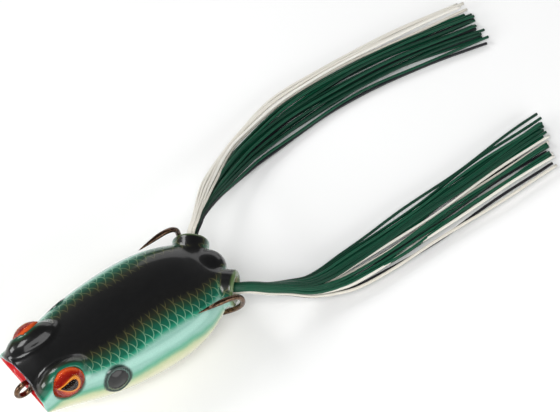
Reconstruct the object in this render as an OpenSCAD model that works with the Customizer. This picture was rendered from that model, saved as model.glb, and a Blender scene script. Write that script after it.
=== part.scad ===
// Hollow-bodied topwater popper: a soft frog body moulded round a double hook,
// with a cupped mouth, glued-on eyes and two legs of loose strands.
// Millimetres. +X is the lure's left, the nose points to -Y and +Z is up.
// Parts are drawn with Z = 0 under the belly and then moved, so that the
// origin of the finished model is the centre of the line tie.

/* [Body] */
// Length of the moulded body, from the lips to the rump
body_length = 60.3; // [59.5:0.1:61]
// Greatest width of the body
body_width = 31.2; // [30.5:0.1:32]
// Height of the back over the belly
body_height = 20.3; // [20:0.1:20.8]
// Thickness of the soft skin
skin = 1.5; // [1.3:0.1:1.7]
// Depth of the cupped mouth behind the lips
cup_depth = 4.6; // [3.6:0.1:5]

/* [Leg tubes] */
// Outer diameter of a leg tube
tube_d = 9.7; // [9.2:0.1:10]
// Diameter of the hole through a leg tube
tube_hole_d = 6.3; // [6.1:0.1:6.5]
// Length of a leg collar
collar_length = 5; // [4:0.5:6]

/* [Eyes] */
// Diameter of a printed eye
eye_d = 8.8; // [8.4:0.1:9]
// Height of the clear dome over the printed eye
eye_dome_height = 2.5; // [2.4:0.1:2.8]

/* [Hook] */
// Diameter of the hook wire
wire_d = 1.4; // [1.2:0.1:1.4]
// Diameter of the hole in the line tie
tie_hole_d = 3.4; // [3.2:0.1:3.6]

/* [Ballast] */
// Diameter of the ballast weight
weight_d = 6.6; // [6:0.1:7]
// Length of the ballast weight
weight_length = 13; // [10:0.5:14]

/* [Strands] */
// Diameter of the gathered strands where they leave a leg tube
bundle_d = 3.8; // [3.5:0.1:3.8]

/* [Hidden] */

// Colours
SKIN = [0.08, 0.47, 0.38];
WIRE = [0.20, 0.16, 0.13];
LEAD = [0.45, 0.45, 0.47];
FOIL = [0.85, 0.30, 0.08];
CLEAR = [0.95, 0.75, 0.45, 0.4];
COLLAR = [0.10, 0.10, 0.10];
GREEN = [0.06, 0.30, 0.20];
BLACK = [0.10, 0.10, 0.12];
WHITE = [0.92, 0.92, 0.88];

// The centre of the line tie, which is the model's origin
tie = [0, -31.25, 10.8];
lip_y = -31.5;

// Stations of the body: place along its length, then half width, back, belly and
// widest level, as shares of the body's length, half width and height
STATIONS = [
    [0.000, 0.64, 0.88, 0.39, 0.64],
    [0.075, 0.67, 0.94, 0.28, 0.62],
    [0.158, 0.74, 0.96, 0.19, 0.60],
    [0.290, 0.87, 0.98, 0.09, 0.57],
    [0.456, 0.97, 1.00, 0.015, 0.55],
    [0.638, 1.00, 1.00, 0.00, 0.54],
    [0.771, 0.94, 0.98, 0.035, 0.55],
    [0.879, 0.79, 0.94, 0.13, 0.57],
    [0.959, 0.59, 0.87, 0.28, 0.59],
    [1.000, 0.29, 0.76, 0.44, 0.61]
];
back_roundness = 2.6;  // exponent of the section's upper half; 2 is an ellipse
belly_roundness = 2.1;
body_spans = 20;
section_points = 40;

// Leg tube: where its end is, on the lure's left, and which way it points
tube_end = [9.5, 28.3, 14.1];
tube_dir = [0.75, 0.64, 0.16];
tube_length = 5.5;
boss_d = 8.3;          // the tube's inner end, inside the hollow
boss_length = 9;
collar_depth = 2.6;    // how far a collar sits behind the tube's end

// Eye: where the printed disc lies, on the lure's left, and which way it looks
eye_at = [9.2, -24.3, 18.0];
eye_dir = [0.95, -0.17, 0.25];
socket_depth = 0.9;
foil_rim = -0.1;       // top of the printed disc's straight edge
foil_rise = 2.2;       // how far the printed disc's front domes out from there
foil_gap = 0.02;
dome_rim = 0.05;       // top of the clear dome's straight edge
mound_at = [6.6, -23.8, 16.2];
mound_r = [3.9, 8.0, 6.0];

// The round ear patch behind each eye
ear_at = [13.1, -12.3, 13.9];
ear_dir = [0.93, -0.16, 0.33];
ear_d = 7.4;

// The bump between the leg tubes
rump_at = [0, 26.8, 14.6];
rump_r = [4.8, 4.4, 3.7];

// The hook wire on the lure's left, from the line tie to the point
tie_rear = tie[1] + tie_hole_d / 2;
HOOK_ROUTE = [
    [0.62, tie_rear, 10.8], [0.62, -26, 10.0], [0.62, -20, 7.6], [0.62, -14, 5.8],
    [0.62, -8, 4.9], [0.62, -2, 4.7], [0.62, 8, 4.7], [1.2, 13, 4.6],
    [3.2, 18, 4.1], [5.8, 21.5, 4.0], [8.2, 24.2, 5.3], [10.6, 26.2, 7.7],
    [12.6, 27.3, 10.9], [13.4, 27.2, 13.9], [13.4, 26.2, 16.3], [13.3, 24.0, 17.9],
    [13.0, 20.4, 18.7], [12.3, 13.5, 18.9]
];
point_share = 0.12;    // the last part of the wire, which tapers to the point
weight_at = [0, 3, 5.3];

// The legs' middle lines, as place, half width and half height
LEFT_ROOT = [
    [5.9, 25.2, 13.3, 1, 1], [7.7, 26.8, 13.7, 1, 1], [9.5, 28.3, 14.1, 1, 1],
    [11.0, 30.4, 14.4, 1, 1], [12.2, 32.8, 13.6, 1, 1], [13.2, 35.4, 12.2, 1, 1]
];
LEFT_LEG = [
    [13.4, 36.0, 11.8, 1.9, 1.9], [14.6, 42.2, 8.2, 2.6, 2.0], [16.1, 48.0, 5.2, 3.9, 2.0],
    [16.7, 54.3, 3.2, 5.2, 1.9], [17.0, 60.5, 2.4, 6.3, 1.9], [17.0, 73.5, 2.0, 7.2, 1.8],
    [16.5, 87.0, 2.0, 7.8, 1.8], [15.7, 102, 1.9, 8.2, 1.7], [15.2, 119, 1.9, 8.8, 1.6],
    [14.9, 139, 1.8, 9.4, 1.5]
];
RIGHT_ROOT = [
    [-5.9, 25.2, 13.3, 1, 1], [-7.7, 26.8, 13.7, 1, 1], [-9.5, 28.3, 14.1, 1, 1],
    [-11.4, 30.5, 14.7, 1, 1], [-13.4, 33.2, 14.3, 1, 1], [-16.1, 36.2, 12.7, 1, 1]
];
RIGHT_LEG = [
    [-16.6, 36.9, 12.4, 2.1, 1.9], [-21.9, 44.4, 9.3, 3.7, 2.0], [-25.9, 51.6, 6.4, 4.7, 2.0],
    [-29.3, 59.1, 4.3, 5.5, 1.9], [-31.8, 66.3, 3.1, 6.2, 1.9], [-34.8, 81.5, 2.1, 7.7, 1.8],
    [-35.4, 96.0, 2.0, 7.6, 1.8], [-35.0, 110, 1.9, 7.6, 1.7], [-33.3, 125, 1.9, 8.1, 1.6],
    [-29.9, 147.4, 1.8, 9.0, 1.5]
];
// Each colour's share of a leg's width, from the outer edge to the inner one
WHITE_SHARE = [0.0, 0.22];
GREEN_SHARE = [0.22, 0.78];
BLACK_SHARE = [0.78, 1.0];
strand_gap = 0.04;

function unit(v) = v / norm(v);
function mirrored(v, side) = [side * v[0], v[1], v[2]];

// Value of column k of a table at place t, on a smooth curve through its rows
function slope(table, i, k) =
    let (a = max(i - 1, 0), b = min(i + 1, len(table) - 1))
    (table[b][k] - table[a][k]) / (table[b][0] - table[a][0]);
function row_before(table, t) =
    max([for (i = [0 : len(table) - 2]) if (table[i][0] <= t || i == 0) i]);
function smooth(table, t, k) =
    let (i = row_before(table, t), h = table[i + 1][0] - table[i][0], u = (t - table[i][0]) / h)
    (2 * pow(u, 3) - 3 * pow(u, 2) + 1) * table[i][k]
    + (pow(u, 3) - 2 * pow(u, 2) + u) * h * slope(table, i, k)
    + (3 * pow(u, 2) - 2 * pow(u, 3)) * table[i + 1][k]
    + (pow(u, 3) - pow(u, 2)) * h * slope(table, i + 1, k);

// A route's rows with the share of the way along it put in front
function keyed(route) = [for (i = [0 : len(route) - 1]) concat([i / (len(route) - 1)], route[i])];
function route_point(table, t, n) = [for (k = [1 : n]) smooth(table, t, k)];

// One closed section of the body at place t, drawn in by gap all round
function power(v, n) = sign(v) * pow(abs(v), 2 / n);
function section(t, gap) =
    let (half = smooth(STATIONS, t, 1) * body_width / 2 - gap,
         mid = smooth(STATIONS, t, 4) * body_height,
         up = smooth(STATIONS, t, 2) * body_height - mid - gap,
         down = mid - smooth(STATIONS, t, 3) * body_height - gap)
    [for (j = [0 : section_points - 1])
        let (a = 360 * j / section_points,
             n = sin(a) >= 0 ? back_roundness : belly_roundness)
        [half * power(cos(a), n), lip_y + t * body_length,
         mid + (sin(a) >= 0 ? up : down) * power(sin(a), n)]];

// The part of the body between two sections
module span(t1, t2, gap) {
    n = section_points;
    hull() polyhedron(
        points = concat(section(t1, gap), section(t2, gap)),
        faces = [[for (j = [0 : n - 1]) j], [for (j = [0 : n - 1]) n + j]]
    );
}

module loft(t1, t2, gap) {
    for (i = [0 : body_spans - 1])
        span(t1 + (t2 - t1) * i / body_spans, t1 + (t2 - t1) * (i + 1) / body_spans, gap);
}

// Sets its children at a place, with their Z axis along a direction
module aim(place, direction) {
    d = unit(direction);
    translate(place)
        rotate([0, acos(d[2]), atan2(d[1], d[0])])
            children();
}

module ball(place, radii) {
    translate(place) scale(radii) sphere(r = 1, $fn = 40);
}

// A closed tube along a route; half widths and heights are scaled per ring, share
// picks a strip of its width, and side_on is a direction the route never follows
function ring_at(table, t, scale_to, share, sides, side_on) =
    let (row = route_point(table, t, 5),
         ahead = route_point(table, min(t + 0.01, 1), 3),
         behind = route_point(table, max(t - 0.01, 0), 3),
         along = unit(ahead - behind),
         across = unit(cross(along, side_on)),
         over = cross(across, along),
         middle = (share[0] + share[1] - 1) * row[3],
         reach = (share[1] - share[0]) * row[3] * scale_to)
    [for (j = [0 : sides - 1])
        let (a = 360 * (j + 0.5) / sides)
        [row[0], row[1], row[2]] + across * (middle * scale_to + reach * cos(a))
        + over * (row[4] * scale_to * sin(a))];

module sweep(route, scales, share, sides, side_on) {
    table = keyed(route);
    rings = len(scales);
    points = [for (i = [0 : rings - 1])
        each ring_at(table, i / (rings - 1), scales[i], share, sides, side_on)];
    walls = [for (i = [0 : rings - 2], j = [0 : sides - 1])
        let (k = (j + 1) % sides)
        [i * sides + k, (i + 1) * sides + k, (i + 1) * sides + j, i * sides + j]];
    first = [for (j = [sides - 1 : -1 : 0]) j];
    last = [for (j = [0 : sides - 1]) (rings - 1) * sides + j];
    polyhedron(points = points, faces = concat([first, last], walls));
}

function mirror_route(route, side) = [for (p = route) [side * p[0], p[1], p[2], 1, 1]];

// One arm of the hook, with a point at its end, or a plain tube round the same line
module hook_arm(side, r, pointed) {
    rings = 52;
    scales = [for (i = [0 : rings - 1])
        let (left = (1 - i / (rings - 1)) / point_share)
        pointed && left < 1 ? r * (0.08 + 0.92 * left) : r];
    sweep(mirror_route(HOOK_ROUTE, side), scales, [0, 1], 8, [1, 0, 0]);
}

module body_shell() {
    from_tie() color(SKIN) difference() {
        union() {
            difference() {
                outer_form();
                loft(0.2, 0.97, skin);
            }
            for (side = [-1, 1]) collar_boss(side);
        }
        mouth_cup();
        translate(tie) rotate([0, 90, 0]) rotate_extrude($fn = 48) tie_wire(wire_d + 0.4, $fn = 24);
        for (side = [-1, 1]) {
            aim(mirrored(tube_end, side), mirrored(tube_dir, side))
                translate([0, 0, -12]) cylinder(d = tube_hole_d, h = 14, $fn = 40);
            aim(mirrored(eye_at, side), mirrored(eye_dir, side)) eye_socket();
            hook_arm(side, wire_d / 2 + 0.1, false);
        }
    }
}

// The outside of the moulding, before it is hollowed
module outer_form() {
    loft(0, 1, 0);
    ball(rump_at, rump_r);
    for (side = [-1, 1]) {
        ball(mirrored(mound_at, side), mound_r);
        leg_tube(side);
        ear_rim(side);
    }
}

// The tube that a leg comes out of
module leg_tube(side) {
    chamfer = 0.8;
    aim(mirrored(tube_end, side), mirrored(tube_dir, side)) {
        translate([0, 0, -tube_length]) cylinder(d = tube_d, h = tube_length - chamfer, $fn = 40);
        translate([0, 0, -chamfer])
            cylinder(d1 = tube_d, d2 = tube_d - 1.75 * chamfer, h = chamfer, $fn = 40);
    }
}

// The boss behind a leg tube, inside the hollow, that holds the collar
module collar_boss(side) {
    aim(mirrored(tube_end, side), mirrored(tube_dir, side))
        translate([0, 0, -boss_length]) cylinder(d = boss_d, h = boss_length - 2, $fn = 40);
}

module ear_rim(side) {
    aim(mirrored(ear_at, side), mirrored(ear_dir, side))
        rotate_extrude($fn = 40) translate([ear_d / 2 - 0.6, 0]) circle(d = 1.2, $fn = 16);
}

// The cup between the lips, and the cut that sets the lower lip back
module mouth_cup() {
    translate([0, lip_y, 13])
        scale([9.3, cup_depth, 4.5]) sphere(r = 1, $fn = 40);
    translate([-15, lip_y, 13])
        rotate([-20, 0, 0]) translate([0, -10, -20]) cube([30, 10, 20]);
}

module eye_socket() {
    translate([0, 0, -socket_depth]) cylinder(d = eye_d + 0.1, h = 6, $fn = 40);
}

module double_hook() {
    from_tie() color(WIRE) {
        for (side = [-1, 1]) hook_arm(side, wire_d / 2, true);
        translate(tie) rotate([0, 90, 0]) tie_ring();
    }
}

// The line tie: the wire's loop, flattened inside where the line bears on it
module tie_ring() {
    land = 0.8;
    rotate_extrude() difference() {
        tie_wire(wire_d);
        translate([0, -land / 2]) square([tie_hole_d / 2, land]);
    }
}

module tie_wire(d) {
    translate([tie_hole_d / 2 + wire_d / 2 - 0.1, 0]) circle(d = d);
}

module ballast_weight() {
    from_tie() color(LEAD) difference() {
        translate(weight_at) rotate([90, 0, 0]) weight_form();
        for (side = [-1, 1])
            translate([side * HOOK_ROUTE[5][0], weight_at[1] + weight_length, HOOK_ROUTE[5][2]])
                rotate([90, 0, 0]) cylinder(d = wire_d + 0.1, h = 2 * weight_length);
    }
}

module weight_form() {
    end_r = 1.8;
    half = weight_length / 2;
    rotate_extrude() intersection() {
        translate([-weight_d / 2 + end_r, -half + end_r])
            offset_box(weight_d - 2 * end_r, weight_length - 2 * end_r, end_r);
        translate([0, -half]) square([weight_d, weight_length]);
    }
}

module offset_box(w, h, r) {
    union() {
        translate([-r, 0]) square([w + 2 * r, h]);
        translate([0, -r]) square([w, h + 2 * r]);
        for (x = [0, w], y = [0, h]) translate([x, y]) circle(r = r);
    }
}

module eye_foil(side) {
    from_tie() color(FOIL) aim(mirrored(eye_at, side), mirrored(eye_dir, side))
        domed_disc(-socket_depth + 0.05, foil_rim, foil_rise);
}

// A shallow cap of clear resin over the printed disc
module eye_dome(side) {
    low = foil_rim + foil_gap;
    from_tie() color(CLEAR) aim(mirrored(eye_at, side), mirrored(eye_dir, side)) difference() {
        domed_disc(low, dome_rim, eye_dome_height);
        domed_disc(low - 1, low, foil_rise);
    }
}

// A disc of the eye's size: straight from low to rim, then domed out by rise
module domed_disc(low, rim, rise) {
    r = (pow(eye_d / 2, 2) + pow(rise, 2)) / (2 * rise);
    union() {
        translate([0, 0, low]) cylinder(d = eye_d, h = rim - low);
        translate([0, 0, rim]) intersection() {
            translate([0, 0, rise - r]) sphere(r = r);
            cylinder(d = eye_d, h = rise);
        }
    }
}

module leg_collar(side) {
    from_tie() color(COLLAR) aim(mirrored(tube_end, side), mirrored(tube_dir, side))
        translate([0, 0, -collar_depth - collar_length]) difference() {
            cylinder(d = tube_hole_d - 0.1, h = collar_length);
            translate([0, 0, -1]) cylinder(d = bundle_d + 0.1, h = collar_length + 2);
        }
}

// The gathered strands from behind the collar to where they start to spread
module leg_root(route) {
    rings = 17;
    scales = [for (i = [0 : rings - 1])
        bundle_d / 2 * (i == rings - 1 ? 0.45 : i == rings - 2 ? 0.9 : 1)];
    from_tie() color(GREEN) sweep(route, scales, [0, 1], 12, [0, 0, 1]);
}

// One colour of a leg's loose strands, as a strip of the leg's width
module leg_strip(route, share, side, paint) {
    rings = 28;
    scales = [for (i = [0 : rings - 1]) i == 0 ? 0.5 : i == rings - 1 ? 0.9 : 1];
    inset = strand_gap * (share[1] - share[0]);
    strip = side > 0
        ? [1 - share[1] + inset, 1 - share[0] - inset]
        : [share[0] + inset, share[1] - inset];
    from_tie() color(paint) sweep(route, scales, strip, 10, [0, 0, 1]);
}

module from_tie() {
    translate(-tie) children();
}

body_shell();
double_hook();
ballast_weight();
eye_foil(1);  // left_eye_foil
eye_foil(-1);  // right_eye_foil
eye_dome(1);  // left_eye_dome
eye_dome(-1);  // right_eye_dome
leg_collar(1);  // left_leg_collar
leg_collar(-1);  // right_leg_collar
leg_root(LEFT_ROOT);  // left_leg_root
leg_root(RIGHT_ROOT);  // right_leg_root
leg_strip(LEFT_LEG, GREEN_SHARE, 1, GREEN);  // left_leg_green
leg_strip(LEFT_LEG, BLACK_SHARE, 1, BLACK);  // left_leg_black
leg_strip(LEFT_LEG, WHITE_SHARE, 1, WHITE);  // left_leg_white
leg_strip(RIGHT_LEG, GREEN_SHARE, -1, GREEN);  // right_leg_green
leg_strip(RIGHT_LEG, BLACK_SHARE, -1, BLACK);  // right_leg_black
leg_strip(RIGHT_LEG, WHITE_SHARE, -1, WHITE);  // right_leg_white
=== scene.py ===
"""Looks of the hollow-bodied topwater popper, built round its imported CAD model.

Shapes are worked out in millimetres in the bench frame of the CAD source (Z = 0 under the
belly, lips at LIP_Y, +X the lure's left) and moved to the row frame by row()."""

import math

import bpy
import numpy as np
from mathutils import Matrix, Vector


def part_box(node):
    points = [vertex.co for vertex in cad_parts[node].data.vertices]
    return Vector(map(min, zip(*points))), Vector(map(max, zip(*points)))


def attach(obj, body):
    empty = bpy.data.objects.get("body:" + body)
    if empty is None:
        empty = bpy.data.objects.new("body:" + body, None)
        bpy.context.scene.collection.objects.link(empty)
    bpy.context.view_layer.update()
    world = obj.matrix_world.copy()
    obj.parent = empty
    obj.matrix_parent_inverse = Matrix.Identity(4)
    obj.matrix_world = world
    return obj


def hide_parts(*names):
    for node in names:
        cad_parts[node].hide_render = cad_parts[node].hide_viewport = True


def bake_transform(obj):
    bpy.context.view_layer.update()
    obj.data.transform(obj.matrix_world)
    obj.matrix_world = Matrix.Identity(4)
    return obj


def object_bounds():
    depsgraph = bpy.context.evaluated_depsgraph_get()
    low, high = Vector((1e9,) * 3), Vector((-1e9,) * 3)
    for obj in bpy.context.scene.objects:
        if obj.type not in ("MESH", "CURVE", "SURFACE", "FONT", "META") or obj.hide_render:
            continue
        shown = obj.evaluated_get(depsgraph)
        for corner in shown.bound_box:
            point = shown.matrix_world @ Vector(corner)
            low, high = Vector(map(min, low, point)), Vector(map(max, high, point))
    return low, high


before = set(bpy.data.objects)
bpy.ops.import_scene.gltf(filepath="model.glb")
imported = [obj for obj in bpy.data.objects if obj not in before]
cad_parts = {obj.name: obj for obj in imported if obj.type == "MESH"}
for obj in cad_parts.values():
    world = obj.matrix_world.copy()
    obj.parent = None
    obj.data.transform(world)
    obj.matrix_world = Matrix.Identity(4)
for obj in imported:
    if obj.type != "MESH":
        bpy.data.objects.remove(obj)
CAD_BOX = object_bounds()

MM = 0.001
TIE = np.array([0.0, -31.25, 10.8])


def row(p):
    """A bench point in millimetres as a row-frame point in metres."""
    return (np.asarray(p, float) - TIE) * MM


def bench(p):
    """A row-frame point in metres as a bench point in millimetres."""
    return np.asarray(p, float) / MM + TIE


# ---------------------------------------------------------------- sizes, in millimetres

SHELL_LOW, SHELL_HIGH = (bench(p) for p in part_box("body_shell"))
BODY_WIDTH = float(SHELL_HIGH[0] - SHELL_LOW[0])
LIP_Y = float(SHELL_LOW[1])
BODY_LENGTH = 60.3
BODY_HEIGHT = 20.3
SKIN = 1.5
HOLLOW_Y = -19.4  # the head is solid in front of this

# Stations of the body: place along it, then half width, back, belly and widest level
STATIONS = np.array(
    [
        [0.000, 0.64, 0.88, 0.39, 0.64],
        [0.075, 0.67, 0.94, 0.28, 0.62],
        [0.158, 0.74, 0.96, 0.19, 0.60],
        [0.290, 0.87, 0.98, 0.09, 0.57],
        [0.456, 0.97, 1.00, 0.015, 0.55],
        [0.638, 1.00, 1.00, 0.00, 0.54],
        [0.771, 0.94, 0.98, 0.035, 0.55],
        [0.879, 0.79, 0.94, 0.13, 0.57],
        [0.959, 0.59, 0.87, 0.28, 0.59],
        [1.000, 0.29, 0.76, 0.44, 0.61],
    ]
)
BACK_ROUNDNESS = 2.6
BELLY_ROUNDNESS = 2.1

TUBE_END = np.array([9.5, 28.3, 14.1])
TUBE_DIR = np.array([0.75, 0.64, 0.16])
TUBE_R = 4.85
TUBE_HOLE_R = 3.15
TUBE_LENGTH = 5.5
BOSS_R = 4.15
BOSS_LENGTH = 9.0

EYE_AT = np.array([9.2, -24.3, 18.0])
EYE_DIR = np.array([0.95, -0.17, 0.25])
EYE_R = 4.4
SOCKET_DEPTH = 0.9
FOIL_RIM = -0.1
FOIL_RISE = 2.2
FOIL_GAP = 0.02
DOME_RIM = 0.05
DOME_HEIGHT = 2.5
MOUND_AT = np.array([6.6, -23.8, 16.2])
MOUND_R = np.array([3.9, 8.0, 6.0])

EAR_AT = np.array([13.1, -12.3, 13.9])
EAR_DIR = np.array([0.93, -0.16, 0.33])
EAR_R = 3.7
EAR_RING_R = 0.5
EAR_LENS_R = 5.0
EAR_LENS_DEPTH = 4.1
EAR_LENS_EDGE = 2.9
RUMP_AT = np.array([0.0, 26.8, 14.6])
RUMP_R = np.array([4.8, 4.4, 3.7])
CUP_AT = np.array([0.0, -31.5, 13.0])
CUP_R = np.array([9.3, 4.6, 4.5])
LIP_SLANT = math.radians(20)

WIRE_R = 0.7
TIE_RING_R = 2.3
POINT_LENGTH = 6.5
BARB_FROM_TIP = 3.6
BARB_LENGTH = 1.8
BARB_RISE = 0.6
HOOK_ROUTE = [
    [0.62, -29.55, 10.8], [0.62, -26, 10.0], [0.62, -20, 7.6], [0.62, -14, 5.8],
    [0.62, -8, 4.9], [0.62, -2, 4.7], [0.62, 8, 4.7], [1.2, 13, 4.6],
    [3.2, 18, 4.1], [5.8, 21.5, 4.0], [8.2, 24.2, 5.3], [10.6, 26.2, 7.7],
    [12.6, 27.3, 10.9], [13.4, 27.2, 13.9], [13.4, 26.2, 16.3], [13.3, 24.0, 17.9],
    [13.0, 20.4, 18.7], [12.3, 13.5, 18.9],
]

# Middle lines of the legs: place, half width and half height of the bundle or fan
LEFT_ROUTE = [
    [5.9, 25.2, 13.3, 1.4, 1.4], [7.7, 26.8, 13.7, 1.4, 1.4], [9.5, 28.3, 14.1, 1.4, 1.4],
    [11.0, 30.4, 14.4, 1.4, 1.4], [12.2, 32.8, 13.6, 1.5, 1.4], [13.4, 36.0, 11.8, 1.7, 1.5],
    [14.6, 42.2, 8.2, 2.4, 1.6], [16.1, 48.0, 5.2, 3.5, 1.6], [16.7, 54.3, 3.2, 4.8, 1.5],
    [17.0, 60.5, 2.4, 5.9, 1.5], [17.0, 73.5, 2.0, 6.8, 1.4], [16.5, 87.0, 2.0, 7.4, 1.4],
    [15.7, 102, 1.9, 7.8, 1.3], [15.2, 119, 1.9, 8.4, 1.2], [14.9, 138.6, 1.8, 9.0, 1.1],
]
RIGHT_ROUTE = [
    [-5.9, 25.2, 13.3, 1.4, 1.4], [-7.7, 26.8, 13.7, 1.4, 1.4], [-9.5, 28.3, 14.1, 1.4, 1.4],
    [-11.4, 30.5, 14.7, 1.4, 1.4], [-13.4, 33.2, 14.3, 1.5, 1.4], [-16.6, 36.9, 12.4, 1.8, 1.5],
    [-21.9, 44.4, 9.3, 3.3, 1.6], [-25.9, 51.6, 6.4, 4.3, 1.6], [-29.3, 59.1, 4.3, 5.1, 1.5],
    [-31.8, 66.3, 3.1, 5.8, 1.5], [-34.8, 81.5, 2.1, 7.3, 1.4], [-35.4, 96.0, 2.0, 7.2, 1.4],
    [-35.0, 110, 1.9, 7.2, 1.3], [-33.3, 125, 1.9, 7.7, 1.2], [-29.9, 147.0, 1.8, 8.6, 1.1],
]
STRAND_R = 0.42

# Paint round an eye: how far out it reaches, and how high in the colours it may go, in degrees
BROW_REACH = 5.9
BROW_TOP = 49
# How much further down the black lies on the lure's right, and up on its left, in degrees
RIGHT_LEAN = 6
LEFT_LEAN = -1


# ---------------------------------------------------------------- curves and fields


def unit(v):
    v = np.asarray(v, float)
    return v / np.linalg.norm(v)


def smooth(keys, rows, t):
    """Rows of a table at places t, on a smooth curve through the rows at keys."""
    keys, rows, t = (np.asarray(a, float) for a in (keys, rows, t))
    before = np.maximum(np.arange(len(keys)) - 1, 0)
    after = np.minimum(np.arange(len(keys)) + 1, len(keys) - 1)
    slopes = (rows[after] - rows[before]) / (keys[after] - keys[before])[:, None]
    i = np.clip(np.searchsorted(keys, t, side="right") - 1, 0, len(keys) - 2)
    h = (keys[i + 1] - keys[i])[:, None]
    u = ((t - keys[i]) / h[:, 0])[:, None]
    return (
        (2 * u**3 - 3 * u**2 + 1) * rows[i]
        + (u**3 - 2 * u**2 + u) * h * slopes[i]
        + (3 * u**2 - 2 * u**3) * rows[i + 1]
        + (u**3 - u**2) * h * slopes[i + 1]
    )


def along_route(route, count):
    """Rows evenly spread by length along the smooth curve through a route's rows."""
    route = np.asarray(route, float)
    fine = smooth(np.arange(len(route)), route, np.linspace(0, len(route) - 1, 40 * len(route)))
    gone = np.r_[0, np.cumsum(np.linalg.norm(np.diff(fine[:, :3], axis=0), axis=1))]
    places = np.linspace(0, gone[-1], count)
    return np.stack([np.interp(places, gone, column) for column in fine.T], axis=1)


FINE_T = np.linspace(0, 1, 601)
FINE = smooth(STATIONS[:, 0], STATIONS[:, 1:], FINE_T)
FINE_SLOPE = np.gradient(FINE, FINE_T, axis=0)


def body_section(y):
    """Half width, back, belly and widest level of the body at y, with their slopes."""
    t = np.clip((y - LIP_Y) / BODY_LENGTH, 0, 1)
    size = np.array([BODY_WIDTH / 2, BODY_HEIGHT, BODY_HEIGHT, BODY_HEIGHT])
    at = [np.interp(t, FINE_T, FINE[:, k]) * size[k] for k in range(4)]
    slope = [np.interp(t, FINE_T, FINE_SLOPE[:, k]) * size[k] / BODY_LENGTH for k in range(4)]
    return at, slope


def loft(p):
    """Signed distance to the plain body, near enough close to its surface."""
    x, y, z = p.T
    (half, back, belly, level), (dhalf, dback, dbelly, dlevel) = body_section(y)
    above = z >= level
    n = np.where(above, BACK_ROUNDNESS, BELLY_ROUNDNESS)
    b = np.where(above, back - level, level - belly)
    db = np.where(above, dback - dlevel, dlevel - dbelly)
    ax = np.abs(x) / half
    az = np.abs(z - level) / b
    r = np.maximum((ax**n + az**n) ** (1 / n), 1e-3)
    gx = (ax / r) ** (n - 1) / half
    gz = (az / r) ** (n - 1) / b
    gy = gx * ax * dhalf + gz * (az * db + np.where(above, 1, -1) * dlevel)
    d = (r - 1) / np.sqrt(gx**2 + gz**2 + gy**2)
    ends = np.maximum(LIP_Y - y, y - LIP_Y - BODY_LENGTH)
    return smax(d, ends, 0.5)


def smin(a, b, k):
    h = np.clip(0.5 + 0.5 * (b - a) / k, 0, 1)
    return b * (1 - h) + a * h - k * h * (1 - h)


def smax(a, b, k):
    return -smin(-a, -b, k)


def ellipsoid(p, at, radii):
    q = (p - at) / radii
    k = np.linalg.norm(q, axis=1)
    return k * (k - 1) / np.maximum(np.linalg.norm(q / radii, axis=1), 1e-6)


def axial(p, at, direction):
    """Height along an axis and distance from it."""
    d = unit(direction)
    height = (p - at) @ d
    return height, np.linalg.norm(p - at - height[:, None] * d, axis=1)


def cylinder(p, at, direction, r, low, high, rounding=0.0):
    height, out = axial(p, at, direction)
    a = out - r + rounding
    b = np.maximum(low - height, height - high) + rounding
    corner = np.linalg.norm(np.maximum(np.stack([a, b]), 0), axis=0)
    return np.minimum(np.maximum(a, b), 0) + corner - rounding


def ring(p, at, direction, big, small):
    height, out = axial(p, at, direction)
    return np.hypot(out - big, height) - small


def near_line(p, line, r):
    """Distance to a tube of radius r along a line of points."""
    best = np.full(len(p), 1e9)
    for a, b in zip(line[:-1], line[1:]):
        ab = b - a
        t = np.clip((p - a) @ ab / (ab @ ab), 0, 1)
        best = np.minimum(best, np.linalg.norm(p - a - t[:, None] * ab, axis=1))
    return best - r


HOOK_LINE = along_route(HOOK_ROUTE, 60)
HOOK_IN_SHELL = HOOK_LINE[:52]


def outer_form(p):
    """The outside of the moulding, for points folded to the lure's left."""
    d = loft(p)
    d = smin(d, ellipsoid(p, MOUND_AT, MOUND_R), 1.1)
    d = smin(d, ellipsoid(p, RUMP_AT, RUMP_R), 0.9)
    d = smin(d, cylinder(p, TUBE_END, TUBE_DIR, TUBE_R, -TUBE_LENGTH - 4, 0, 0.9), 0.8)
    d = smin(d, ring(p, EAR_AT, EAR_DIR, EAR_R - 0.4, EAR_RING_R), 0.3)
    lens = ellipsoid(p, EAR_AT - EAR_LENS_DEPTH * unit(EAR_DIR), np.full(3, EAR_LENS_R))
    return smin(d, np.maximum(lens, axial(p, EAR_AT, EAR_DIR)[1] - EAR_LENS_EDGE), 0.12)


def mouth_cup(p):
    lower = np.array([0, -math.cos(LIP_SLANT), -math.sin(LIP_SLANT)])
    slant = -((p - CUP_AT) @ lower)
    slant = np.maximum(slant, p[:, 2] - CUP_AT[2] - 0.6)
    return smin(ellipsoid(p, CUP_AT, CUP_R), slant, 0.5)


def shell_field(p):
    """Signed distance to the soft shell's material."""
    q = np.abs(p * [1, 0, 0]) + p * [0, 1, 1]
    hollow = np.maximum(loft(q) + SKIN, HOLLOW_Y - q[:, 1])
    hollow = np.maximum(hollow, -cylinder(q, TUBE_END, TUBE_DIR, BOSS_R, -BOSS_LENGTH, 0))
    d = np.maximum(outer_form(q), -hollow)
    d = smax(d, -mouth_cup(q), 0.3)
    d = smax(d, -cylinder(q, EYE_AT, EYE_DIR, EYE_R + 0.06, -SOCKET_DEPTH, 6), 0.15)
    d = smax(d, -cylinder(q, TUBE_END, TUBE_DIR, TUBE_HOLE_R, -12, 2), 0.5)
    wires = np.minimum(
        near_line(q, HOOK_IN_SHELL, WIRE_R + 0.15),
        ring(q, TIE, [1, 0, 0], TIE_RING_R, WIRE_R + 0.2),
    )
    return smax(d, -wires, 0.1)


def in_chunks(field, p, size=200_000):
    return np.concatenate([field(p[i : i + size]) for i in range(0, len(p), size)])


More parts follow.
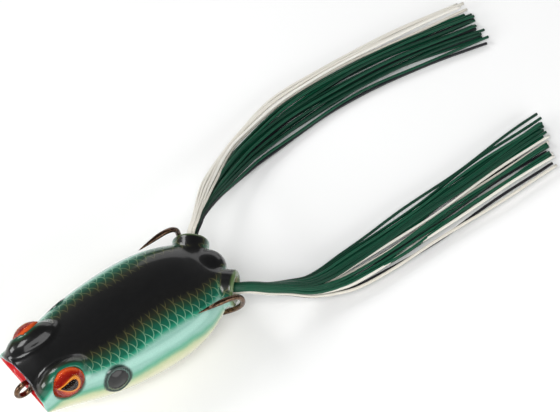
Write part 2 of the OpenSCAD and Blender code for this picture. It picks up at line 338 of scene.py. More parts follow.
def slopes_of(field, p, h=0.02):
    steps = np.eye(3) * h
    return np.stack([(field(p + s) - field(p - s)) / (2 * h) for s in steps], axis=1)


def skin_of(field, low, high, step):
    """A quad mesh of the field's zero surface, pulled onto it."""
    axes = [np.arange(a, b + step, step) for a, b in zip(low, high)]
    grid = np.stack(np.meshgrid(*axes, indexing="ij"), axis=-1)
    value = in_chunks(field, grid.reshape(-1, 3)).reshape(grid.shape[:3])
    inside = value < 0
    shape = np.array(inside.shape) - 1
    corners = [(i, j, k) for i in (0, 1) for j in (0, 1) for k in (0, 1)]
    full = sum(
        inside[i : i + shape[0], j : j + shape[1], k : k + shape[2]].astype(int)
        for i, j, k in corners
    )
    cells = np.argwhere((full > 0) & (full < 8))
    number = np.full(shape, -1)
    number[tuple(cells.T)] = np.arange(len(cells))
    total = np.zeros((len(cells), 3))
    count = np.zeros(len(cells))
    for a in corners:
        for axis in range(3):
            if a[axis]:
                continue
            b = np.array(a)
            b[axis] = 1
            va = value[tuple((cells + a).T)]
            vb = value[tuple((cells + b).T)]
            cross = (va < 0) != (vb < 0)
            spot = np.tile(np.array(a, float), (cross.sum(), 1))
            spot[:, axis] = va[cross] / (va[cross] - vb[cross])
            total[cross] += spot
            count[cross] += 1
    points = (cells + total / count[:, None]) * step + np.array(low)
    faces = []
    for axis in range(3):
        u, v = np.eye(3, dtype=int)[(axis + 1) % 3], np.eye(3, dtype=int)[(axis + 2) % 3]
        near = [slice(0, s) for s in shape]
        far = list(near)
        far[axis] = slice(1, shape[axis] + 1)
        edges = np.argwhere(inside[tuple(near)] != inside[tuple(far)])
        edges = edges[(edges @ u > 0) & (edges @ v > 0)]
        quads = np.stack(
            [number[tuple((edges - s).T)] for s in (0 * u, u, u + v, v)], axis=1
        )
        out = inside[tuple(edges.T)]
        quads[~out] = quads[~out][:, ::-1]
        faces.append(quads)
    for _ in range(3):
        slope = slopes_of(field, points)
        size = np.maximum((slope**2).sum(1), 0.2)
        move = -field(points)[:, None] * slope / size[:, None]
        points += np.clip(move, -0.4 * step, 0.4 * step)
    return points, np.concatenate(faces)


# ---------------------------------------------------------------- meshes


def add_mesh(name, points, faces, material, slot, smooth_shading=True):
    """A piece of the object from bench points, in the row frame."""
    mesh = bpy.data.meshes.new(name)
    mesh.from_pydata(row(points).tolist(), [], np.asarray(faces, dtype=object).tolist())
    mesh.validate()
    mesh.polygons.foreach_set("use_smooth", [smooth_shading] * len(mesh.polygons))
    mesh.materials.append(material)
    piece = bpy.data.objects.new(name, mesh)
    bpy.context.scene.collection.objects.link(piece)
    return piece


def set_attribute(piece, name, kind, values):
    field = "vector" if kind == "FLOAT_VECTOR" else "value"
    attribute = piece.data.attributes.new(name, kind, "POINT")
    attribute.data.foreach_set(field, np.asarray(values, np.float32).ravel())


def tube(line, radii, sides, first_side=(1, 0, 0)):
    """Points and faces of a round closed tube along a line."""
    line = np.asarray(line, float)
    radii = np.broadcast_to(np.asarray(radii, float), len(line))
    way = np.gradient(line, axis=0)
    way /= np.linalg.norm(way, axis=1)[:, None]
    side = np.asarray(first_side, float)
    points = []
    for place, forward, r in zip(line, way, radii):
        side = unit(side - forward * (side @ forward))
        up = np.cross(forward, side)
        for a in np.arange(sides) * 2 * math.pi / sides:
            points.append(place + r * (math.cos(a) * side + math.sin(a) * up))
    faces = []
    for i in range(len(line) - 1):
        for j in range(sides):
            k = (j + 1) % sides
            faces.append((i * sides + j, i * sides + k, (i + 1) * sides + k, (i + 1) * sides + j))
    faces.append(tuple(range(sides - 1, -1, -1)))
    faces.append(tuple(range((len(line) - 1) * sides, len(line) * sides)))
    return np.array(points), faces


def joined(parts):
    """Several (points, faces) as one."""
    points, faces, start = [], [], 0
    for p, f in parts:
        points.append(p)
        faces += [tuple(i + start for i in face) for face in f]
        start += len(p)
    return np.concatenate(points), faces


def ring_tube(at, big, small, around=64, sides=24):
    """A torus in the plane across X."""
    angles = np.linspace(0, 2 * math.pi, around, endpoint=False)
    points = []
    for a in angles:
        out = np.array([0, math.cos(a), math.sin(a)])
        for b in np.linspace(0, 2 * math.pi, sides, endpoint=False):
            points.append(at + out * (big + small * math.cos(b)) + [small * math.sin(b), 0, 0])
    faces = []
    for i in range(around):
        for j in range(sides):
            i2, j2 = (i + 1) % around, (j + 1) % sides
            faces.append((i * sides + j, i * sides + j2, i2 * sides + j2, i2 * sides + j))
    return np.array(points), faces


def turned(profile, sides=64):
    """Points and faces of a closed solid turned round Z from (radius, height) pairs, which
    run from the lower middle to the upper middle."""
    points = [[0, 0, profile[0][1]]]
    for r, h in profile[1:-1]:
        points += [
            [r * math.cos(a), r * math.sin(a), h]
            for a in np.arange(sides) * 2 * math.pi / sides
        ]
    points.append([0, 0, profile[-1][1]])
    last = len(points) - 1
    faces = []
    for j in range(sides):
        k = (j + 1) % sides
        faces.append((0, 1 + k, 1 + j))
        for i in range(len(profile) - 3):
            a, b = 1 + i * sides, 1 + (i + 1) * sides
            faces.append((a + j, a + k, b + k, b + j))
        top = 1 + (len(profile) - 3) * sides
        faces.append((top + j, top + k, last))
    return np.array(points, float), faces


# ---------------------------------------------------------------- node materials


def srgb(r, g, b):
    """An 0-255 display colour as linear RGBA."""
    parts = [c / 255 for c in (r, g, b)]
    return [c / 12.92 if c <= 0.04045 else ((c + 0.055) / 1.055) ** 2.4 for c in parts] + [1.0]


class Finish:
    """A material with a Principled shader and short calls to build the nodes before it."""

    def __init__(self, name, **values):
        self.material = bpy.data.materials.new(name)
        self.material.use_nodes = True
        self.tree = self.material.node_tree
        self.shader = self.tree.nodes["Principled BSDF"]
        for socket, value in values.items():
            self.shader.inputs[socket.replace("_", " ")].default_value = value

    def node(self, kind, inputs=(), output=0, **settings):
        node = self.tree.nodes.new(kind)
        for name, value in settings.items():
            setattr(node, name, value)
        for key, value in dict(inputs).items():
            self.feed(node.inputs[key], value)
        return node.outputs[output]

    def feed(self, socket, value):
        if isinstance(value, bpy.types.NodeSocket):
            self.tree.links.new(value, socket)
        else:
            socket.default_value = value

    def sets(self, socket, value):
        self.feed(self.shader.inputs[socket], value)

    def math(self, operation, a, b=0.0, c=0.0):
        return self.node("ShaderNodeMath", {0: a, 1: b, 2: c}, operation=operation)

    def fit(self, value, low, high, to_low=0.0, to_high=1.0, soft=True):
        kind = "SMOOTHSTEP" if soft else "LINEAR"
        inputs = {"Value": value, "From Min": low, "From Max": high}
        inputs.update({"To Min": to_low, "To Max": to_high})
        return self.node("ShaderNodeMapRange", inputs, interpolation_type=kind)

    def mix(self, factor, a, b, blend="MIX"):
        node = self.tree.nodes.new("ShaderNodeMix")
        node.data_type = "RGBA"
        node.blend_type = blend
        for socket, value in ((0, factor), (6, a), (7, b)):
            self.feed(node.inputs[socket], value)
        return node.outputs[2]

    def ramp(self, value, low, high, stops):
        """A colour for a value from low to high, by (value, colour) stops."""
        factor = self.fit(value, low, high, soft=False)
        node = self.tree.nodes.new("ShaderNodeValToRGB")
        self.feed(node.inputs[0], factor)
        bar = node.color_ramp.elements
        while len(bar) < len(stops):
            bar.new(0.5)
        for element, (at, colour) in zip(bar, stops):
            element.position = (at - low) / (high - low)
            element.color = colour
        return node.outputs[0]

    def curve(self, value, low, high, stops, scale):
        """A number for a value from low to high, by (value, number) stops from 0 to scale."""
        grey = [(at, [n / scale] * 3 + [1.0]) for at, n in stops]
        return self.math("MULTIPLY", self.ramp(value, low, high, grey), scale)

    def parts(self, vector):
        node = self.tree.nodes.new("ShaderNodeSeparateXYZ")
        self.tree.links.new(vector, node.inputs[0])
        return node.outputs

    def attribute(self, name, output="Vector"):
        return self.node("ShaderNodeAttribute", output=output, attribute_name=name)

    def place(self):
        """Object coordinates in millimetres."""
        at = self.node("ShaderNodeTexCoord", output="Object")
        return self.node("ShaderNodeVectorMath", {0: at, "Scale": 1 / MM}, operation="SCALE")

    def noise(self, vector, scale, detail=2.0, roughness=0.5):
        inputs = {"Vector": vector, "Scale": scale, "Detail": detail, "Roughness": roughness}
        return self.node("ShaderNodeTexNoise", inputs, output="Fac")

    def bump(self, height, strength, distance=0.0002):
        inputs = {"Height": height, "Strength": strength, "Distance": distance}
        self.sets("Normal", self.node("ShaderNodeBump", inputs))


SCALE_PITCH = 2.5  # mm from one scale to the next along the body
SCALE_ROW = 11.6  # degrees of the section from one row to the next
SCALE_BULGE = 0.5  # how far a scale's edge bulges, in pitches


def scale_lines(m, along, angle):
    """How much of a scale's pale edge there is: arcs in rows, bulging to the rear."""
    lines = None
    for offset in (0.0, 0.5):
        around = m.math("ADD", m.math("DIVIDE", angle, 2 * SCALE_ROW), offset + 10)
        across = m.math("MULTIPLY_ADD", m.math("FRACT", around), 2.0, -1.0)
        reach = m.math("POWER", m.math("ABSOLUTE", across), 2.2)
        place = m.math("MULTIPLY_ADD", along, 1 / SCALE_PITCH, offset + 40)
        place = m.math("MULTIPLY_ADD", reach, SCALE_BULGE, place)
        gap = m.math("ABSOLUTE", m.math("SUBTRACT", m.math("FRACT", place), 0.5))
        line = m.fit(gap, 0.035, 0.075, 1.0, 0.0)
        lines = line if lines is None else m.math("MAXIMUM", lines, line)
    return lines


def skin_finish():
    m = Finish(
        "lacquered_soft_skin", Specular_IOR_Level=0.2, Coat_Weight=1.0, Coat_Roughness=0.09,
        Coat_IOR=1.4,
    )
    at = m.place()
    along, angle, _ = m.parts(m.attribute("paint"))
    red, raw, black = m.parts(m.attribute("zones"))
    lip_highlight, rim, brim = m.parts(m.attribute("edges"))
    drift = m.math("MULTIPLY_ADD", m.noise(at, 0.35, 3), 5.0, -2.5)
    # How far the colours' edges drop, in degrees, from the nose to the tail
    drops = [
        (-32, 16), (-29, 8), (-25, 3.5), (-20, 3.5), (-12, 6.5), (-6, 5.5), (1, 0.5),
        (10, 0.5), (17, 7), (26, 9),
    ]
    shift = m.curve(along, -32, 32, drops, 20)
    level = m.math("ADD", m.math("ADD", angle, shift), drift)
    # The pale band from 24 to 42 degrees is partly the real pearl paint and partly a painted
    # highlight: the sheen of the flank that faces up to the light is painted into its colour.
    paint = m.ramp(
        level, -30, 90,
        [
            (-30, srgb(212, 212, 190)), (-2, srgb(200, 200, 162)), (5, srgb(180, 190, 146)),
            (11, srgb(112, 164, 128)), (16, srgb(88, 158, 130)), (24, srgb(134, 180, 166)),
            (42, srgb(140, 184, 170)), (48, srgb(40, 140, 110)), (52, srgb(12, 96, 72)),
            (59, srgb(12, 80, 60)), (64, srgb(20, 56, 38)), (71, srgb(30, 34, 20)),
            (77, srgb(12, 12, 10)), (90, srgb(6, 6, 6)),
        ],
    )
    grain = m.fit(m.noise(at, 4.5, 3, 0.7), 0.3, 0.7, 0.9, 1.1, soft=False)
    grain = m.node("ShaderNodeCombineColor", {0: grain, 1: grain, 2: grain})
    paint = m.mix(1.0, paint, grain, "MULTIPLY")
    lines = scale_lines(m, along, angle)
    shown = m.math("MULTIPLY", m.fit(level, 38, 49), m.fit(level, 72, 79, 1.0, 0.0))
    shown = m.math("MULTIPLY", shown, m.fit(along, -20, -17))
    shown = m.math("MULTIPLY", shown, lines)
    pale = m.ramp(
        level, 30, 90,
        [(30, srgb(176, 222, 202)), (52, srgb(126, 178, 150)), (62, srgb(96, 118, 80)),
         (70, srgb(82, 80, 48)), (90, srgb(38, 36, 24))],
    )
    paint = m.mix(m.math("MULTIPLY", shown, 0.7), paint, pale)
    paint = m.mix(rim, paint, srgb(10, 42, 34))
    paint = m.mix(brim, paint, srgb(88, 110, 66))
    paint = m.mix(black, paint, srgb(9, 9, 10))
    blood = m.mix(m.noise(at, 0.8, 3), srgb(168, 8, 14), srgb(206, 24, 28))
    paint = m.mix(red, paint, blood)
    # The pale-lavender line on the mouth's upper edge is a painted highlight.
    paint = m.mix(lip_highlight, paint, srgb(150, 128, 172))
    cream = m.mix(m.noise(at, 0.6, 3), srgb(196, 190, 150), srgb(214, 208, 172))
    m.sets("Base Color", m.mix(raw, paint, cream))
    pearl = m.math("MULTIPLY", m.fit(level, 8, 30), m.fit(level, 52, 66, 1.0, 0.0))
    m.sets("Metallic", m.math("MULTIPLY", pearl, 0.15))
    m.sets("Roughness", m.fit(m.noise(at, 1.2, 3), 0.3, 0.7, 0.3, 0.42, soft=False))
    waves = m.math("MULTIPLY", m.noise(at, 0.5), 0.5)
    m.bump(m.math("ADD", m.math("MULTIPLY", shown, 0.35), waves), 0.25, 0.0001)
    return m.material


def hook_finish():
    m = Finish("bronzed_wire", Metallic=1.0, Coat_Weight=0.35, Coat_Roughness=0.08)
    at = m.place()
    tone = m.noise(at, 1.1, 4, 0.6)
    m.sets("Base Color", m.mix(m.fit(tone, 0.35, 0.65), srgb(58, 38, 26), srgb(116, 88, 64)))
    m.sets("Roughness", m.fit(m.noise(at, 5, 3), 0.3, 0.7, 0.16, 0.34, soft=False))
    m.bump(m.noise(at, 6, 2), 0.15, 0.00005)
    return m.material


def cast_finish():
    m = Finish("cast_lead", Metallic=0.9)
    at = m.place()
    tone = m.noise(at, 0.9, 5, 0.65)
    m.sets("Base Color", m.mix(tone, srgb(92, 94, 100), srgb(148, 150, 156)))
    m.sets("Roughness", m.fit(tone, 0.3, 0.7, 0.45, 0.75, soft=False))
    m.bump(m.noise(at, 3, 4), 0.4, 0.0001)
    return m.material


def collar_finish():
    m = Finish("moulded_black_rubber")
    at = m.place()
    tone = m.noise(at, 1.6, 4)
    m.sets("Base Color", m.mix(tone, srgb(18, 18, 18), srgb(42, 42, 40)))
    m.sets("Roughness", m.fit(tone, 0.3, 0.7, 0.5, 0.75, soft=False))
    m.bump(m.noise(at, 7, 3), 0.3, 0.00005)
    return m.material


def strand_finish(name, dark, light, roughness):
    """Satin silicone strands: each a little different, and streaked along."""
    m = Finish(name, Specular_IOR_Level=0.3, Coat_Weight=0.05, Coat_Roughness=0.25)
    at = m.place()
    own, _, _ = m.parts(m.attribute("strand"))
    streak = m.noise(at, 0.35, 3, 0.6)
    tone = m.math("MULTIPLY_ADD", own, 0.65, m.math("MULTIPLY", streak, 0.35))
    m.sets("Base Color", m.mix(tone, dark, light))
    m.sets("Roughness", m.fit(m.noise(at, 1.4, 2), 0.3, 0.7, roughness, roughness + 0.15))
    m.bump(m.noise(at, 3, 2), 0.2, 0.00005)
    return m.material


def iris_finish():
    """A printed iris: a teardrop pupil edged with gold, then orange, dark red and an orange rim.
    The pupil's brown middle is a painted highlight.
    """
    m = Finish("printed_iris_foil", Metallic=0.1, Roughness=0.55, Specular_IOR_Level=0.05)
    at = m.attribute("eye")
    x, y, _ = m.parts(at)
    out = m.math("SQRT", m.math("ADD", m.math("MULTIPLY", x, x), m.math("MULTIPLY", y, y)))
    spoke = m.node("ShaderNodeVectorMath", {0: at}, operation="NORMALIZE")
    streak = m.noise(spoke, 9, 3, 0.6)
    wide = m.math("MULTIPLY_ADD", m.math("SUBTRACT", streak, 0.5), 0.9, out)
    iris = m.ramp(
        wide, 0, EYE_R,
        [(0, srgb(200, 100, 24)), (1.7, srgb(184, 70, 16)), (2.3, srgb(158, 38, 10)),
         (3.0, srgb(112, 14, 6)), (3.9, srgb(140, 24, 8)), (4.3, srgb(200, 80, 34))],
    )
    pupil_x = m.math("ADD", x, -0.3)
    pupil_y = m.math("ADD", y, -0.6)
    girth = m.math("MULTIPLY_ADD", pupil_x, -0.36, 1.4)
    across = m.math("DIVIDE", pupil_y, m.math("MAXIMUM", girth, 0.2))
    length = m.math("DIVIDE", pupil_x, 2.4)
    far = m.math("SQRT", m.math("ADD", m.math("MULTIPLY", across, across),
                                m.math("MULTIPLY", length, length)))
    gold = m.math("MULTIPLY", m.fit(far, 0.94, 1.04), m.fit(far, 1.16, 1.38, 1.0, 0.0))
    iris = m.mix(gold, iris, srgb(206, 134, 46))
    # The pupil's brown middle is a painted highlight on the dark pupil.
    pupil_with_centre_highlight = m.mix(m.fit(far, 0.0, 0.7, 1.0, 0.0), srgb(10, 5, 3), srgb(40, 26, 16))
    m.sets("Base Color", m.mix(m.fit(far, 0.92, 1.0, 1.0, 0.0), iris, pupil_with_centre_highlight))
    m.bump(streak, 0.2, 0.00005)
    return m.material


def dome_finish():
    """Clear resin: see-through, with only its gloss showing."""
    m = Finish("clear_eye_resin", Metallic=1.0, Roughness=0.04)
    m.sets("Base Color", m.mix(m.noise(m.place(), 0.5), srgb(246, 246, 246), srgb(255, 255, 255)))
    gloss = m.math("MULTIPLY", m.node("ShaderNodeFresnel", {"IOR": 1.5}), 0.06)
    clear = m.node("ShaderNodeBsdfTransparent")
    seen = m.node("ShaderNodeMixShader", {0: gloss, 1: clear, 2: m.shader.outputs[0]})
    m.tree.links.new(seen, m.tree.nodes["Material Output"].inputs["Surface"])
    return m.material


def floor_finish():
    m = Finish("pale_floor", Roughness=0.6)
    at = m.place()
    m.sets("Base Color", m.mix(m.noise(at, 0.02, 3), srgb(248, 248, 247), srgb(252, 252, 251)))
    return m.material


# ---------------------------------------------------------------- the soft body


def step_up(value, low, high):
    t = np.clip((value - low) / (high - low), 0, 1)
    return t * t * (3 - 2 * t)


def section_angle(q):
    """How far round its section each point is, in degrees from the belly, -90, to the back."""
    x, y, z = q.T
    (half, back, belly, level), _ = body_section(y)
    above = z >= level
    n = np.where(above, BACK_ROUNDNESS, BELLY_ROUNDNESS)
    b = np.where(above, back - level, level - belly)
    top = level + b * (1 - np.clip(x / half, 0, 1) ** n) ** (1 / n)
    z_paint = np.where(above, np.minimum(z, top + 0.35 * (z - top)), z)
    rise = (np.abs(z_paint - level) / b) ** (n / 2)
    return np.degrees(np.arctan2(rise, (x / half) ** (n / 2))) * np.where(above, 1, -1)


def paint_angle(points, q):
    """The angle that sets a point's colour: the section's, but the tube's own on a leg tube,
    held down round an eye, and leaning to the lure's right on the back."""
    x, y, _ = q.T
    height, out = axial(q, TUBE_END, TUBE_DIR)
    d = unit(TUBE_DIR)
    over = unit(np.array([0, 0, 1.0]) - d * d[2])
    beside = np.cross(d, over)
    turn = np.degrees(np.arctan2(np.abs((q - TUBE_END) @ beside), (q - TUBE_END) @ over))
    on_tube = step_up(height, -4.0, -2.4) * step_up(out, 6.2, 5.4)
    angle = section_angle(q) * (1 - on_tube) + (90 - 0.65 * turn) * on_tube
    over_eye, beside_eye = axial(q, EYE_AT, EYE_DIR)
    by_eye = step_up(beside_eye, BROW_REACH, BROW_REACH - 0.7) * step_up(over_eye, -2.0, -1.0)
    by_eye = by_eye * (x > 4) * (y < -15)
    angle = angle * (1 - by_eye) + np.minimum(angle, BROW_TOP) * by_eye
    lean = np.where(points[:, 0] < 0, RIGHT_LEAN, LEFT_LEAN)
    lean = lean * step_up(x, 1, 5) * step_up(angle, 20, 45)
    return angle + lean * (1 - on_tube)


def paint_places(points):
    """Per point: how far along and round the body it is, in mm and degrees; how much it belongs
    to the red mouth, the bare inside and the black ear; and to the painted highlight line
    on the mouth's upper edge, the ear's rim and the leg tube's brim."""
    q = np.abs(points * [1, 0, 0]) + points * [0, 1, 1]
    x, y, z = q.T
    deep = -in_chunks(outer_form, q)
    front = y < -25
    red = step_up(deep, 0.22, 0.4) * front
    raw = step_up(deep, 0.35, 0.6) * ~front
    socket = cylinder(q, EYE_AT, EYE_DIR, EYE_R + 0.5, -SOCKET_DEPTH - 0.3, 6) < 0
    raw = np.where(socket, 0, raw)
    red = np.where(socket, 0, red)
    _, ear = axial(q, EAR_AT, EAR_DIR)
    ear = np.where((np.abs(y - EAR_AT[1]) < 6) & (x > 9), ear, 99)
    black = step_up(ear, 3.05, 2.85)
    rim = step_up(ear, 4.2, 3.7) * (1 - black)
    # Painted highlight: a thin pale-lavender line along the upper edge of the mouth, where the
    # light catches it.
    lip_highlight = step_up(deep, 0.02, 0.1) * step_up(deep, 0.32, 0.22) * (y < LIP_Y + 0.35) * (z > 13)
    height, out = axial(q, TUBE_END, TUBE_DIR)
    brim = step_up(height, -1.0, -0.3) * step_up(out, 6.2, 5.4)
    paint = np.stack([y, paint_angle(points, q), np.zeros(len(y))], 1)
    return paint, np.stack([red, raw, black], 1), np.stack([lip_highlight, rim, brim], 1)


def build_body():
    step = 0.36
    low = [-16.5, LIP_Y - 1.1, -1.1]
    high = [16.5, 33.5, 24.0]
    points, faces = skin_of(shell_field, low, high, step)
    body = add_mesh("soft_body", points, faces, skin_finish(), "skin")
    paint, zones, edges = paint_places(points)
    set_attribute(body, "paint", "FLOAT_VECTOR", paint)
    set_attribute(body, "zones", "FLOAT_VECTOR", zones)
    set_attribute(body, "edges", "FLOAT_VECTOR", edges)
    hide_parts("body_shell")
    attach(body, "root")


# ---------------------------------------------------------------- hook, eyes and inner parts


def build_hook():
    """Two arms with barbed points and the turn of wire at the nose."""
    parts = [ring_tube(TIE, TIE_RING_R, WIRE_R)]
    count = 150
    for side in (-1, 1):
        line = along_route(HOOK_ROUTE, count) * [side, 1, 1]
        length = np.linalg.norm(np.diff(line, axis=0), axis=1).sum()
        left = (1 - np.arange(count) / (count - 1)) * length
        taper = 0.06 + 0.94 * (left / POINT_LENGTH) ** 0.75
        radii = np.where(left < POINT_LENGTH, WIRE_R * taper, WIRE_R)
        parts.append(tube(line, radii, 20))
        root = np.argmin(np.abs(left - BARB_FROM_TIP))
        way = unit(line[root] - line[root + 2])
        off = -unit(np.cross(way, [side, 0, 0]))
        start = line[root] + off * radii[root] * 0.35
        tip = line[root] + way * BARB_LENGTH + off * (radii[root] + BARB_RISE)
        sliver = np.linspace(0, 1, 8)[:, None]
        bend = start + (tip - start) * sliver
        parts.append(tube(bend, 0.3 * (1 - sliver[:, 0]) ** 0.8 + 0.02, 10))
    hook = add_mesh("double_hook_wire", *joined(parts), hook_finish(), "hook_wire")
    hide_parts("double_hook")
    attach(hook, "root")


def place_turned(name, profile, side, material, slot):
    """A turned piece in an eye's socket. Its attribute "eye" keeps each point's place in the
    eye, in millimetres to the nose, up and out."""
    out = unit(EYE_DIR * [side, 1, 1])
    nose = np.array([0.0, -1.0, 0.0])
    nose = unit(nose - out * (nose @ out))
    third = np.cross(out, nose)
    points, faces = turned(profile)
    placed = EYE_AT * [side, 1, 1] + points @ np.stack([nose, third, out])
    piece = add_mesh(name, placed, faces, material, slot)
    set_attribute(piece, "eye", "FLOAT_VECTOR", points * [1, np.sign(third[2]), 1])
    return piece


def domed_front(rim, rise):
    """Outline, from edge to middle, of a front of the eye's size domed out by rise."""
    r = (EYE_R**2 + rise**2) / (2 * rise)
    return [
        (EYE_R * t, rim + rise - r + math.sqrt(r * r - (EYE_R * t) ** 2))
        for t in np.sin(np.linspace(math.pi / 2, 0, 18))
    ]


def build_eyes():
    iris, resin = iris_finish(), dome_finish()
    base = -SOCKET_DEPTH + 0.05
    foil = [(0, base), (EYE_R, base)] + domed_front(FOIL_RIM, FOIL_RISE)
    dome = domed_front(FOIL_RIM + FOIL_GAP, FOIL_RISE)[::-1] + domed_front(DOME_RIM, DOME_HEIGHT)
    for side, word in ((1, "left"), (-1, "right")):
        piece = place_turned(f"{word}_iris", foil, side, iris, "eye_foil")
        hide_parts(f"{word}_eye_foil")
        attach(piece, "root")
        piece = place_turned(f"{word}_clear_dome", dome, side, resin, "eye_dome")
        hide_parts(f"{word}_eye_dome")
        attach(piece, "root")


def dress_cad_nodes():
    cast, rubber = cast_finish(), collar_finish()
    for name, finish in (
        ("ballast_weight", cast),
        ("left_leg_collar", rubber),
        ("right_leg_collar", rubber),
    ):
        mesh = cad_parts[name].data
        mesh.materials.clear()
        mesh.materials.append(finish)


# ---------------------------------------------------------------- the legs' strands

# Strands from the inner edge of a fan to its outer edge: a letter for the colour (g, k, w)
# and the place across the fan from -1 to 1
LEFT_STRANDS = [
    ("g", -1.00), ("g", -0.86), ("g", -0.70), ("g", -0.66), ("k", -0.62), ("g", -0.58),
    ("g", -0.54), ("g", -0.50), ("g", -0.46), ("k", -0.42), ("g", -0.38), ("g", -0.34),
    ("g", -0.30), ("g", -0.26), ("g", -0.22), ("g", -0.18), ("w", -0.08), ("k", 0.00),
    ("w", 0.08), ("g", 0.17), ("g", 0.21), ("g", 0.26), ("k", 0.30), ("w", 0.39),
    ("g", 0.48), ("g", 0.52), ("g", 0.56), ("g", 0.60), ("w", 0.70), ("k", 0.83),
    ("w", 0.99),
]
RIGHT_STRANDS = [
    ("k", -1.00), ("g", -0.93), ("g", -0.72), ("g", -0.67), ("k", -0.62), ("g", -0.57),
    ("g", -0.52), ("g", -0.34), ("g", -0.29), ("k", -0.25), ("g", -0.20), ("g", -0.15),
    ("g", 0.02), ("g", 0.06), ("k", 0.10), ("g", 0.14), ("g", 0.18), ("g", 0.22),
    ("g", 0.36), ("g", 0.40), ("k", 0.44), ("g", 0.48), ("w", 0.56), ("w", 0.66),
    ("w", 0.77), ("w", 0.88), ("w", 0.98),
]
RINGS = 90
SIDES = 7


def strand_line(rows, side, root, fan, phases, length):
    """One strand's middle line down a leg: in the round bundle first, then in the fan. Both
    root and fan are a place across and a layer from -1 to 1."""
    way = np.gradient(rows[:, :3], axis=0)
    way /= np.linalg.norm(way, axis=1)[:, None]
    across = np.cross(way, [0, 0, 1.0]) * side
    across /= np.linalg.norm(across, axis=1)[:, None]
    over = np.cross(across, way) * side
    u = np.linspace(0, 1, len(rows))
    spread = step_up(u, 0.1, 0.38)
    swing = sum(0.03 * np.sin(2 * math.pi * (f * u + p)) for f, p in zip((0.8, 1.7, 2.9), phases))
    inside = root[0] * 0.82 * (1 - spread) + (fan[0] * 0.92 + swing) * spread
    round_height = root[1] * math.sqrt(max(1 - (root[0] * 0.9) ** 2, 0.04))
    lift = round_height * (1 - spread) + fan[1] * 0.9 * spread
    line = rows[:, :3] + across * (inside.clip(-1, 1) * rows[:, 3])[:, None]
    line = line + over * (lift * rows[:, 4])[:, None]
    line[:, 2] = np.maximum(line[:, 2], STRAND_R + 0.05)
    keep = max(int(round(length * (len(rows) - 1))) + 1, 4)
    return line[:keep], u[:keep]


def build_leg(word, side, route, strands, finishes, top, low, trim):
    """One leg's strands. At its tube the colour top lies on top of the bundle, from the place
    low out to its outer edge; trim is how much shorter the fan is at its outer edge."""
    rng = np.random.default_rng(11 if side > 0 else 23)
    rows = along_route(route, RINGS)
    parts = {"g": [], "k": [], "w": []}
    facts = {"g": [], "k": [], "w": []}
    on_top = [place for colour, place in strands if colour == top]
    for number, (colour, place) in enumerate(strands):
        layer = (0.75, -0.35, 0.2, -0.8)[number % 4] + rng.uniform(-0.15, 0.15)
        root = (place, -0.35 - 0.6 * rng.uniform(0, 1))
        if colour == top:
            rank = on_top.index(place) / (len(on_top) - 1)
            root = (low + (1 - low) * rank, 0.95 - 0.25 * (number % 2))
            layer = abs(layer)
        elif colour == "k":
            layer = -abs(layer)
        phases = rng.uniform(0, 1, 3)
        length = 1 - trim * (place + 1) / 2 - 0.014 * rng.uniform(0, 1)
        own = rng.uniform(0, 1)
        line, u = strand_line(rows, side, root, (place, layer), phases, length)
        radii = STRAND_R * (0.72 + 0.28 * step_up(u, 0.08, 0.3))
        mesh = tube(line, radii, SIDES, (0, 0, 1))
        parts[colour].append(mesh)
        facts[colour].append(
            np.stack([np.full(len(mesh[0]), own), np.repeat(u, SIDES), np.zeros(len(mesh[0]))], 1)
        )
    names = {"g": "green", "k": "black", "w": "white"}
    for colour, name in names.items():
        piece = add_mesh(
            f"{word}_{name}_strands", *joined(parts[colour]), finishes[colour], f"strand_{name}"
        )
        set_attribute(piece, "strand", "FLOAT_VECTOR", np.concatenate(facts[colour]))
        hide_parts(f"{word}_leg_{name}")
        if colour == "g":
            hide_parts(f"{word}_leg_root")
        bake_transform(piece)


def build_legs():
    finishes = {
        "g": strand_finish("dark_green_strand", srgb(3, 42, 29), srgb(10, 84, 58), 0.34),
        "k": strand_finish("black_strand", srgb(14, 15, 18), srgb(48, 48, 54), 0.34),
        "w": strand_finish("pearl_white_strand", srgb(206, 200, 186), srgb(240, 238, 230), 0.3),
    }
    build_leg("left", 1, LEFT_ROUTE, LEFT_STRANDS, finishes, "g", -1.0, 0.08)
    build_leg("right", -1, RIGHT_ROUTE, RIGHT_STRANDS, finishes, "w", -0.35, 0.0)


# ---------------------------------------------------------------- camera, floor and lights


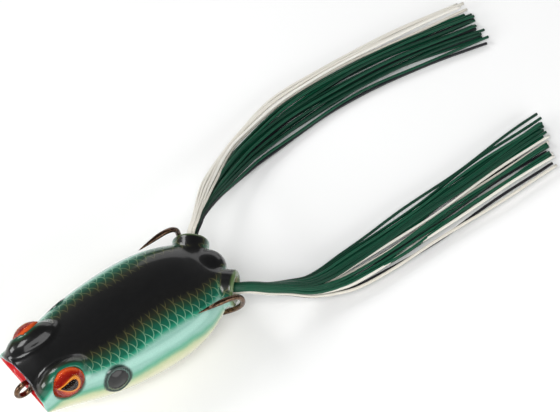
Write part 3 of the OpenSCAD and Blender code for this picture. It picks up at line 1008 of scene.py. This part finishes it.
def build_camera():
    """The photographed view, from the front left and above."""
    turn, lift = math.radians(36.9), math.radians(55)
    distance = 650.0
    span = 141.772  # width of the view at the body's middle
    aside, above = 39.215, 29.19  # from the body's middle to the view's
    level = np.array([math.cos(turn), -math.sin(turn), 0.0])
    back = level * math.cos(lift) + np.array([0, 0, math.sin(lift)])
    right = np.array([math.sin(turn), math.cos(turn), 0.0])
    up = np.cross(back, right)
    target = np.array([0.0, 0.0, 13.0])
    ahead = unit(-back * distance + right * aside + up * above)
    right = unit(right - ahead * (right @ ahead))
    up = np.cross(right, ahead)
    camera = bpy.data.cameras.new("camera")
    camera.sensor_width = 36
    camera.lens = camera.sensor_width * distance / span
    camera.clip_start = 0.01
    placed = bpy.data.objects.new("camera", camera)
    turn = Matrix([[right[i], up[i], -ahead[i]] for i in range(3)]).to_4x4()
    placed.matrix_world = Matrix.Translation(Vector(row(target + back * distance))) @ turn
    bpy.context.scene.collection.objects.link(placed)
    bpy.context.scene.camera = placed


def build_floor():
    size = 3.0
    low = CAD_BOX[0][2]
    mesh = bpy.data.meshes.new("floor")
    corners = [(-size, -size, low), (size, -size, low), (size, size, low), (-size, size, low)]
    mesh.from_pydata(corners, [], [(0, 1, 2, 3)])
    mesh.materials.append(floor_finish())
    floor = bpy.data.objects.new("floor", mesh)
    bpy.context.scene.collection.objects.link(floor)


def add_softbox(name, at, aim, size, watts):
    """An area light at a row-frame place, in metres, that faces a point."""
    light = bpy.data.lights.new(name, "AREA")
    light.shape = "RECTANGLE"
    light.size, light.size_y = size
    light.energy = watts
    placed = bpy.data.objects.new(name, light)
    placed.location = at
    placed.rotation_euler = (Vector(aim) - Vector(at)).to_track_quat("-Z", "Y").to_euler()
    bpy.context.scene.collection.objects.link(placed)


def build_lights():
    aim = (0, 0.05, 0)
    add_softbox("nose_softbox", (-0.15, -0.75, 0.3), aim, (0.5, 0.3), 4.1)
    add_softbox("left_softbox", (0.85, 0.25, 0.3), aim, (1.2, 0.5), 5.0)
    add_softbox("right_softbox", (-0.8, -0.1, 0.65), aim, (0.3, 0.5), 3.4)
    add_softbox("rear_softbox", (-0.55, 0.85, 0.33), aim, (1.0, 0.45), 1.6)
    add_softbox("camera_softbox", (0.45, -0.5, 0.95), aim, (0.6, 0.6), 8.6)
    world = bpy.data.worlds.new("studio")
    world.use_nodes = True
    world.node_tree.nodes["Background"].inputs[0].default_value = (0.93, 0.95, 1, 1)
    world.node_tree.nodes["Background"].inputs[1].default_value = 0.14
    bpy.context.scene.world = world
    bpy.context.scene.view_settings.view_transform = "Standard"


build_camera()
build_floor()
build_lights()
build_body()
build_hook()
build_eyes()
dress_cad_nodes()
build_legs()
